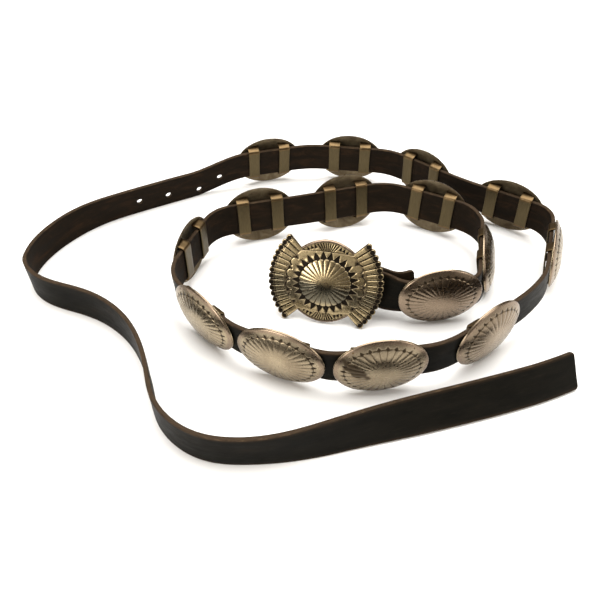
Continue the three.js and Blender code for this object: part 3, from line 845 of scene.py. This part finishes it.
def dark_reflection_band(x, y):
    """Where the buckle's lower half is painted darker grey, a painted dark reflection."""
    return (1 - smoothstep(-2.5, 1.5, y + 0.08 * x)) * smoothstep(-14, -9, y)


def border_stamps(x, y):
    """Scallops with dots between them along the cushion's left and right borders."""
    mark = np.zeros_like(x)
    for side in (-1, 1):
        for level in (-9.6, -3.2, 3.2, 9.6):
            reach = 18.6 - 0.022 * level * level
            facing = np.array([side * cos(radians(level * 4)), sin(radians(level * 4))])
            mark = np.maximum(mark, ring_stamp(x, y, (side * reach, level), 2.55, 0.3, facing))
        for level in (-12.6, -6.4, 0, 6.4, 12.6):
            reach = 20.6 - 0.030 * level * level
            mark = np.maximum(mark, dot_stamp(x, y, (side * reach, level), 0.62))
            mark = np.maximum(mark, 0.7 * ring_stamp(x, y, (side * reach, level), 1.0, 0.16))
    return mark


def add_cushion(shape):
    """The raised cushion with its star of petals, as rings from the middle out to its outline."""
    columns = STAR_POINTS * 16
    theta = full_turn(columns)
    ellipse = np.stack([np.cos(theta) * STAR_HALF_WIDTH, np.sin(theta) * STAR_HALF_HEIGHT], -1)
    angle = np.arctan2(ellipse[:, 1], ellipse[:, 0])
    limit = outline_radius(cushion_outline(), angle)
    border = np.stack([np.cos(angle) * limit, np.sin(angle) * limit], -1)
    star = np.r_[np.linspace(0.02, 0.5, 10), np.linspace(0.54, 0.76, 9), np.linspace(0.775, 1.01, 34)]
    field = np.r_[np.linspace(0.08, 0.86, 20), [0.91, 0.95, 0.98, 1.0]]
    last = ellipse * star[-1]
    xy = np.stack([ellipse * r for r in star] + [last + (border - last) * q for q in field])
    x, y = xy[..., 0], xy[..., 1]
    r = np.hypot(x / STAR_HALF_WIDTH, y / STAR_HALF_HEIGHT)
    share = petal_shares(np.broadcast_to(theta, r.shape) + pi / STAR_POINTS, STAR_POINTS)
    end = PETAL_HALF_WIDTH / STAR_HALF_WIDTH
    relief, lines, punches = stamped_sun(r, share, {**BUCKLE_SUN, "end": end})
    dome = PETAL_RISE * (1 - np.clip(r / end, 0, 1) ** 1.9)
    ledge = STAR_THICK * (1 - smoothstep(end * 0.97, 1.02, r))
    inward = np.zeros_like(r)
    inward[len(star):] = field[:, None]
    pillow = 0.1 * (1 - inward ** 2)
    shoulder = (CUSHION_THICK - 0.15) * smoothstep(0.90, 1.0, inward) ** 1.5
    marks = border_stamps(x, y) * (r > 1.0) * (inward < 0.97)
    edge_line = bell(inward - 0.885, 0.035) * (inward > 0) * 0.6
    z = CUSHION_FACE - 0.1 + pillow + dome + ledge + relief - 0.3 * marks - shoulder - 0.12 * edge_line
    stamp = np.maximum.reduce([lines, punches, marks, edge_line, smoothstep(0.93, 1.0, inward)])
    # Painted dark reflection: the lower half of the star and cushion is painted darker grey.
    grey = dark_reflection_band(x, y) * np.where(r < end, 0.85, 0.5)
    warm = 0.6 * (1 - stamp) * (1 - grey)
    bottom = np.concatenate([border, np.full((columns, 1), BACK_SHEET)], -1)
    middles = [[0, 0, z[0].mean()], [0, 0, BACK_SHEET]]
    points = np.concatenate([np.stack([x, y, z], -1).reshape(-1, 3), bottom, middles])
    rows, innermost, unstamped = len(xy), np.arange(columns), np.zeros(columns + 2)
    shape.add(points, [grid_quads(rows + 1, columns, wrap=True, flip=True),
                       fan_faces(len(points) - 2, innermost),
                       fan_faces(len(points) - 1, innermost + rows * columns, flip=True)],
              stamp=np.r_[stamp.reshape(-1), np.ones(columns), 0, 0],
              patina=np.r_[grey.reshape(-1), unstamped], warm=np.r_[warm.reshape(-1), unstamped])


def add_sheet(shape, x, y, z, side, **values):
    """A raised sheet standing on the back sheet; side -1 is the same one turned half a turn."""
    x, y = (side * np.pad(grid, PLATE_SIDES, mode="edge") for grid in (x, y))
    z = np.pad(z, PLATE_SIDES, constant_values=BACK_SHEET - TUCK)
    rows, columns = z.shape
    shape.add(np.stack([x, y, z], -1), [grid_quads(rows, columns, flip=True)], **values)
    first = shape.count - rows * columns
    left = [first + k * columns for k in range(rows)]
    right = [k + columns - 1 for k in left]
    high = first + (rows - 1) * columns
    bottom = [[first + k, first + k + 1, high + k + 1, high + k] for k in range(columns - 1)]
    shape.close(left[::-1], right, *bottom)


def add_fan(shape, side):
    """A fan of flutes with a round eye at each one's end."""
    columns = FLUTES * FLUTE_SAMPLES + 1
    turn = np.linspace(0, FLUTES, columns)
    share = turn - np.floor(np.minimum(turn, FLUTES - 1e-9)) - 0.5
    step = radians(FAN_SPREAD / FLUTES)
    angle = np.radians(turn * FAN_SPREAD / FLUTES - FAN_SPREAD / 2)
    edge = fan_edge_radius(share) - INSET
    t = np.r_[np.linspace(0, 0.72, 14), np.linspace(0.75, 0.97, 24), [0.982, 0.992, 1.0]]
    inner = FAN_ROOT - 2
    radius = inner + (edge[None] - inner) * t[:, None]
    x, y = radius * np.cos(angle) - FAN_OFFSET, radius * np.sin(angle)
    ridge = (1 - 0.9 * share ** 2) * (1 - smoothstep(0.35, 0.48, np.abs(share)))
    groove = smoothstep(0.35, 0.43, np.abs(share))[None] * np.ones_like(radius)
    groove[:, [0, -1]] = 0
    eye = np.zeros_like(radius)
    for k in range(FLUTES):
        middle = step * (k + 0.5) - radians(FAN_SPREAD) / 2
        facing = np.array([cos(middle), sin(middle)])
        centre = facing * (FAN_REACH - EYE_INSET) - [FAN_OFFSET, 0]
        eye = np.maximum(eye, dot_stamp(x, y, centre, EYE_RADIUS))
        eye = np.maximum(eye, 0.8 * ring_stamp(x, y, centre, EYE_RING, 0.15, -facing, -0.4))
    roll = 0.45 * smoothstep(0.955, 1.0, t)[:, None] ** 1.5
    z = PLATE - 0.15 + FAN_RELIEF * ridge[None] * radius / FAN_REACH - 0.3 * groove - 0.32 * eye - roll
    dark = np.clip(np.maximum(groove * 0.95, eye), 0, 1)
    # Painted dark reflection: the lower half of each fan is painted darker grey.
    grey = 0.65 * dark_reflection_band(side * x, side * y)
    add_sheet(shape, x, y, z, side, stamp=np.pad(dark, PLATE_SIDES),
              patina=np.pad(grey, PLATE_SIDES, mode="edge"), warm=np.pad(0.65 * (1 - dark), PLATE_SIDES))


def oval_edge(x):
    """How high the plate's upper arc lies over its middle line."""
    return NOTCH_Y + (OVAL_TOP - NOTCH_Y) * (1 - (x / NOTCH_X) ** 2)


def crescent_marks(x, y, outer_gap):
    """A sunburst in the middle of the crescent and a row of wedges to each side, up to its rim."""
    turn = (np.degrees(np.arctan2(x, y - SUNBURST_SOURCE)) / SUNBURST_SPREAD + 0.5) * SUNBURST_RAYS
    within = (turn > -0.3) & (turn < SUNBURST_RAYS + 0.3) & (outer_gap > CRESCENT_RIM + 0.35)
    mark = (1 - smoothstep(0.2, 0.3, np.abs(turn - np.round(turn)))) * within
    for side in (-1, 1):
        for k in range(CRESCENT_WEDGES):
            px = side * (7.7 + 1.95 * k)
            slope = 2 * (OVAL_TOP - NOTCH_Y) * px / NOTCH_X ** 2
            facing = np.array([slope, 1.0]) / sqrt(slope * slope + 1)
            tip = np.array([px, oval_edge(px)]) - facing * (CRESCENT_RIM + 0.15)
            mark = np.maximum(mark, wedge_stamp(x, y, tip, facing, 2.5 - 0.3 * k, 1.8))
    return mark


def add_crescent(shape, side):
    """The part of the oval that shows above the cushion, with a plain rosy rim."""
    columns = 181
    u = np.linspace(1, -1, columns)
    edge = np.stack([NOTCH_X * u, oval_edge(NOTCH_X * u) - INSET], -1)
    inner = np.stack([NOTCH_X * u * 0.93, np.full(columns, NOTCH_Y - 4.5)], -1)
    t = np.r_[np.linspace(0, 0.4, 5), np.linspace(0.43, 0.9, 26), [0.93, 0.955, 0.975, 0.99, 1.0]]
    xy = inner[None] + (edge - inner)[None] * t[:, None, None]
    x, y = xy[..., 0], xy[..., 1]
    gap = np.hypot(x - edge[:, 0], y - edge[:, 1])
    marks = crescent_marks(x, y, gap) * smoothstep(CRESCENT_RIM, CRESCENT_RIM + 0.2, gap)
    rim_line = bell(gap - CRESCENT_RIM, 0.14) * 0.3
    raised = 0.12 * (1 - smoothstep(CRESCENT_RIM - 0.3, CRESCENT_RIM + 0.3, gap))
    roll = 0.5 * (1 - smoothstep(0.0, 0.7, gap)) ** 2
    z = PLATE - 0.05 + raised - 0.3 * marks - 0.15 * rim_line - roll
    polish = 1 - smoothstep(CRESCENT_RIM - 0.2, CRESCENT_RIM + 0.2, gap)
    stamp = np.pad(np.maximum(marks, rim_line), PLATE_SIDES)
    rosy = np.pad(polish, PLATE_SIDES, constant_values=((0, 1), (0, 0)))
    add_sheet(shape, x, y, z, side, stamp=stamp, polish=rosy, warm=0.7 * (1 - rosy) * (1 - stamp))


def plate_outline():
    """Points round the whole buckle: each fan's scallops and the arcs between the fans."""
    share = np.linspace(-0.5, 0.5, 13)[:-1]
    edge = []
    for k in range(FLUTES):
        angle = np.radians((k + 0.5 + share) * FAN_SPREAD / FLUTES - FAN_SPREAD / 2)
        radius = fan_edge_radius(share)
        edge.append(np.stack([radius * np.cos(angle) - FAN_OFFSET, radius * np.sin(angle)], -1))
    tip = radians(FAN_SPREAD / 2)
    last = [[(FAN_REACH - FAN_DIP) * cos(tip) - FAN_OFFSET, (FAN_REACH - FAN_DIP) * sin(tip)]]
    half = np.concatenate([*edge, last, bulge(NOTCH_X, NOTCH_Y, OVAL_TOP, 41)[:-1]])
    return np.concatenate([half, -half])


def add_plate(shape):
    """The back sheet, with its edge softly rounded."""
    outline = plate_outline()
    towards = outline / np.linalg.norm(outline, axis=1)[:, None]
    levels = [(0.25, 0.0), (0.08, 0.06), (0.0, 0.22), (0.0, BACK_SHEET - TUCK), (0.1, BACK_SHEET)]
    shape.tube([np.c_[outline - towards * inset, np.full(len(outline), z)] for inset, z in levels], kind=1)


BAR_SIDES, HOOK_BEND = 20, 1.4


def add_bar(shape, path, radius, flat=1.0):
    """A rod that follows a path of points, with closed ends; flat squashes its section."""
    path = np.asarray(path, float)
    along = np.gradient(path, axis=0)
    along /= np.linalg.norm(along, axis=1)[:, None]
    up = np.array([0, 1.0, 0]) if abs(along[0][1]) < 0.9 else np.array([0, 0, 1.0])
    turns = full_turn(BAR_SIDES)
    rings = []
    for centre, direction in zip(path, along):
        right = np.cross(direction, up)
        right /= np.linalg.norm(right)
        above = np.cross(right, direction)
        round_it = np.outer(np.cos(turns), right) + np.outer(np.sin(turns) * flat, above)
        rings.append(centre + radius * round_it)
    shape.tube(rings, kind=1)


def add_post_and_hook(shape):
    """The post between its two lugs, which the strap folds round, and the bent hook."""
    lug = STRAP_WIDTH / 2 + CLEARANCE * 2 + POST_LUG / 2
    post = [(POST_ALONG, -POST_DROP + y, -POST_BACK) for y in np.linspace(-lug, lug, 9)]
    add_bar(shape, post, POST_RADIUS)
    for side in (-1, 1):
        depths = np.linspace(0.3, -POST_BACK - POST_RADIUS, 12)
        leg = [(POST_ALONG, side * lug - POST_DROP, z) for z in depths]
        add_bar(shape, leg, POST_RADIUS, flat=POST_LUG / 2 / POST_RADIUS)
    low = HOOK_RADIUS - HOOK_REACH
    bend = [(HOOK_ALONG - HOOK_BEND * (1 - cos(a)), 0, low + HOOK_BEND * (1 - sin(a)))
            for a in np.linspace(0, pi / 2, 8)]
    straight = HOOK_RADIUS + HOOK_TIP - HOOK_BEND
    tip = [(HOOK_ALONG - HOOK_BEND - straight * k, 0, low) for k in (0.3, 0.6, 0.85, 0.97)]
    add_bar(shape, [(HOOK_ALONG, 0, 0.3), (HOOK_ALONG, 0, -1.5), *bend, *tip], HOOK_RADIUS)


def buckle_piece(silver, hollow, shift):
    shape = Shape()
    add_cushion(shape)
    for side in (1, -1):
        add_fan(shape, side)
        add_crescent(shape, side)
    add_plate(shape)
    add_post_and_hook(shape)
    station = {"centre": np.array([0, 0, BUCKLE_RISE]), "along": BUCKLE_ALONG,
               "up": BUCKLE_UP, "out": BUCKLE_OUT}
    piece = shape.piece("buckle_dress", [silver, hollow], placed_by(station, shift))
    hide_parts("buckle")


# The floor, the lights and the camera

def soft_light(name, size, watts, place, colour):
    """A rectangular lamp that faces the middle of the table."""
    light = bpy.data.lights.new(name, "AREA")
    light.shape = "RECTANGLE"
    light.size, light.size_y = size
    light.energy = watts
    light.color = colour
    obj = new_object(name, light)
    obj.location = place
    obj.rotation_euler = (-Vector(place)).to_track_quat("-Z", "Y").to_euler()


TABLE_HALF = 4.0


def floor_piece():
    material, tree, shader = node_material("pale_table")
    tone = noise(tree, place_of(tree), 0.004, 2)
    colour = ramp(tree, tone, [(0.3, (0.90, 0.895, 0.885)), (0.7, (0.92, 0.917, 0.91))])
    set_inputs(tree, shader, {"Base Color": colour, "Roughness": 0.85})
    mesh = bpy.data.meshes.new("table_top")
    corners = [(-1, -1), (1, -1), (1, 1), (-1, 1)]
    mesh.from_pydata([(x * TABLE_HALF, y * TABLE_HALF, 0) for x, y in corners], [], [(0, 1, 2, 3)])
    mesh.materials.append(material)
    floor = new_object("table_top", mesh)


def make_world():
    world = bpy.data.worlds.new("studio")
    bpy.context.scene.world = world
    world.use_nodes = True
    tree = world.node_tree
    coords = add_node(tree, "TexCoord").outputs["Generated"]
    sky = ramp(tree, add_node(tree, "SeparateXYZ", {0: coords}).outputs["Z"], [
        (0.0, (0.55, 0.52, 0.47)), (0.12, (0.42, 0.39, 0.34)), (0.32, (0.145, 0.125, 0.10)),
        (0.7, (0.22, 0.20, 0.175)), (1.0, (0.6, 0.57, 0.53))])
    set_inputs(tree, tree.nodes["Background"], {"Color": sky, "Strength": 1.0})


def make_camera(look_at):
    camera = bpy.data.cameras.new("camera")
    camera.lens = CAMERA_LENS
    camera.sensor_width = 36
    obj = new_object("camera", camera)
    tip = radians(CAMERA_ELEVATION)
    away = Vector((0, -cos(tip), sin(tip))) * CAMERA_DISTANCE * MM
    obj.location = Vector(look_at) + away
    obj.rotation_euler = (-away).to_track_quat("-Z", "Y").to_euler()
    bpy.context.scene.camera = obj


# Everything in its place

def route_shift():
    """From the route's own frame to the row frame, by the strap's box."""
    low, high = (np.array(corner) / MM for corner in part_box("strap"))
    edges = [(up * STRAP_WIDTH / 2, out * STRAP_THICK / 2) for up in (-1, 1) for out in (-1, 1)]
    points = np.concatenate([MAIN["centre"] + MAIN["up"] * up + MAIN["out"] * out for up, out in edges])
    middle = (points.min(0) + points.max(0)) / 2
    return np.array([*((low + high) / 2 - middle)[:2], low[2] - points[:, 2].min()])


shift = route_shift()
make_camera([(a + b) * MM for a, b in zip(LOOK_AT_FROM_POST_FRAME, (shift[0], shift[1], 0))])
floor_piece()
make_world()
soft_light("overhead", (1.3, 0.9), 22, (0.0, 0.15, 0.95), (1.0, 0.985, 0.96))
soft_light("left_panel", (0.5, 0.36), 5, (-0.62, -0.66, 0.34), (1.0, 0.97, 0.92))
soft_light("right_fill", (0.4, 0.4), 2.5, (0.8, -0.35, 0.4), (1.0, 0.96, 0.9))

silver, hollow, copper = silver_material(), hollow_material(), copper_material()
strap = strap_piece([grain_material(), edge_material(), flesh_material()], shift)
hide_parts("strap")
for number, seat in enumerate(SEAT_MIDDLES, 1):
    concho_pieces(number, seat, silver, hollow, copper, shift)
buckle_piece(silver, hollow, shift)
bpy.context.scene.view_settings.view_transform = "Standard"
